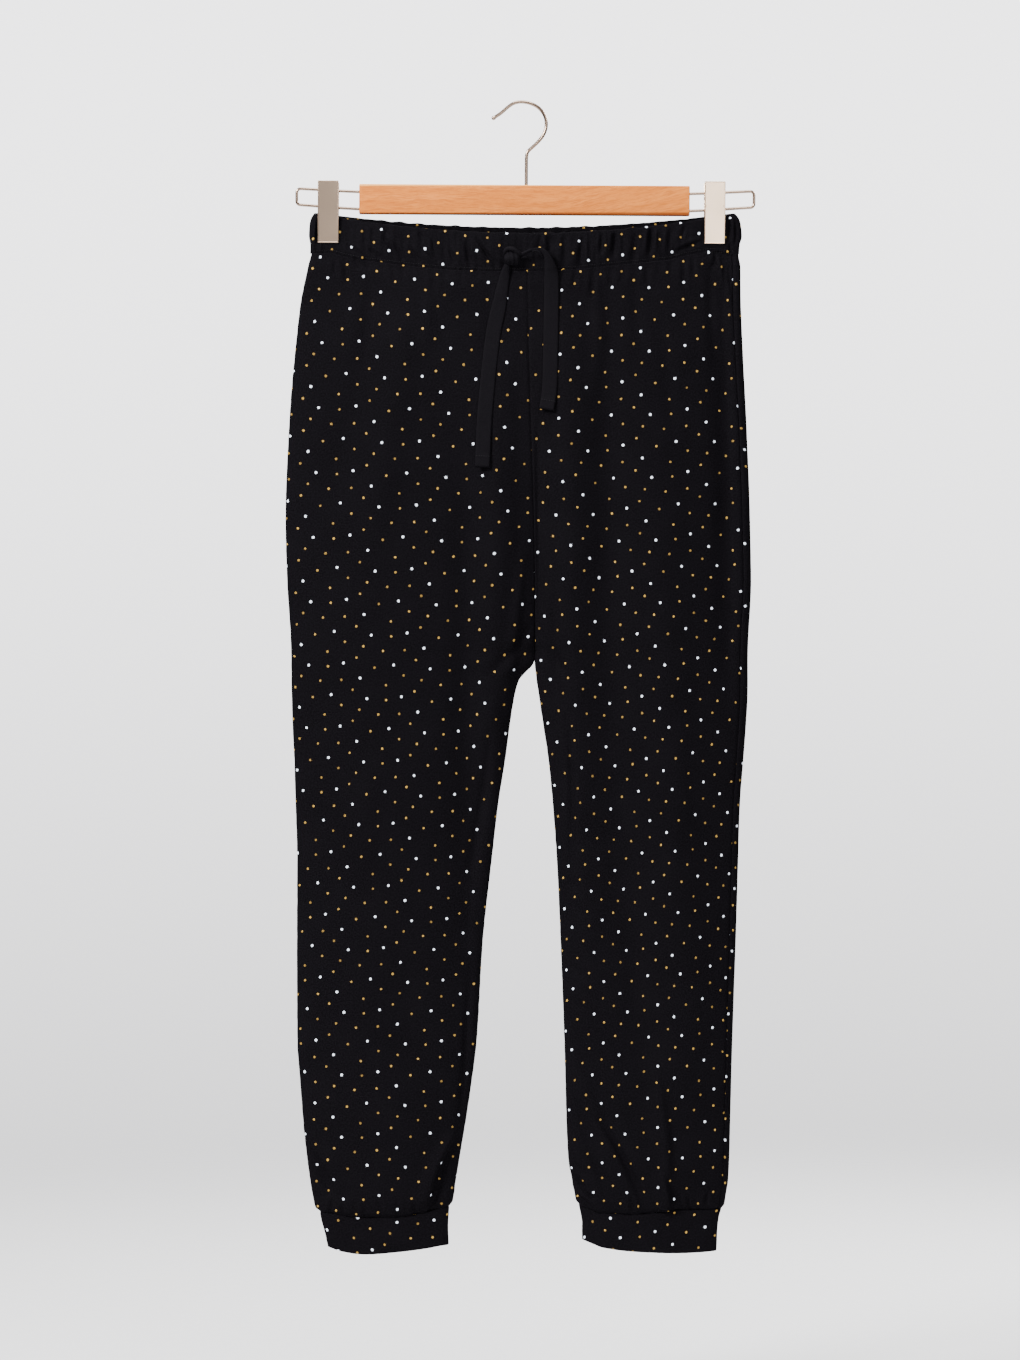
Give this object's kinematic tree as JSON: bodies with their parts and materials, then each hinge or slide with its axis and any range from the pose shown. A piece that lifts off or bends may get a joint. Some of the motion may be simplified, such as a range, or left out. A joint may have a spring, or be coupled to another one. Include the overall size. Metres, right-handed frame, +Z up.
{
  "type": "pyjama bottoms on a clip hanger",
  "caption": "Cuffed knit pyjama bottoms with a gathered drawstring waist and a scattered dot print, held flat by the clips of a wooden bar hanger.",
  "frame": {"origin": "underside of the hook's crown, where a rail carries the hanger", "axes": "+Z up along the garment's length, -Y out of the garment's front, +X to the viewer's right, which is the wearer's left"},
  "size_m": [0.4575, 0.0431, 1.1235],
  "materials": {
    "jersey": "fine black cotton jersey with a soft low sheen",
    "tape": "matt black-grey knitted tape",
    "beech": "pale beech under a thin satin lacquer",
    "wire": "satin nickel plated wire",
    "clip_plate": "satin nickel plated sheet"
  },
  "bodies": {
    "root": {"waistband_front": "jersey", "waistband_back": "jersey", "front_panel_right": "jersey", "front_panel_left": "jersey", "back_panel_right": "jersey", "back_panel_left": "jersey", "cuff_right": "jersey", "cuff_left": "jersey", "drawstring_knot": "tape", "drawstring_end_right": "tape", "drawstring_end_left": "tape", "hanger_bar": "beech", "hanger_hook": "wire", "rail_right": "wire", "rail_left": "wire", "clip_right_front_plate": "clip_plate", "clip_right_back_plate": "clip_plate", "clip_right_spring": "wire", "clip_left_front_plate": "clip_plate", "clip_left_back_plate": "clip_plate", "clip_left_spring": "wire"}
  },
  "joints": []
}
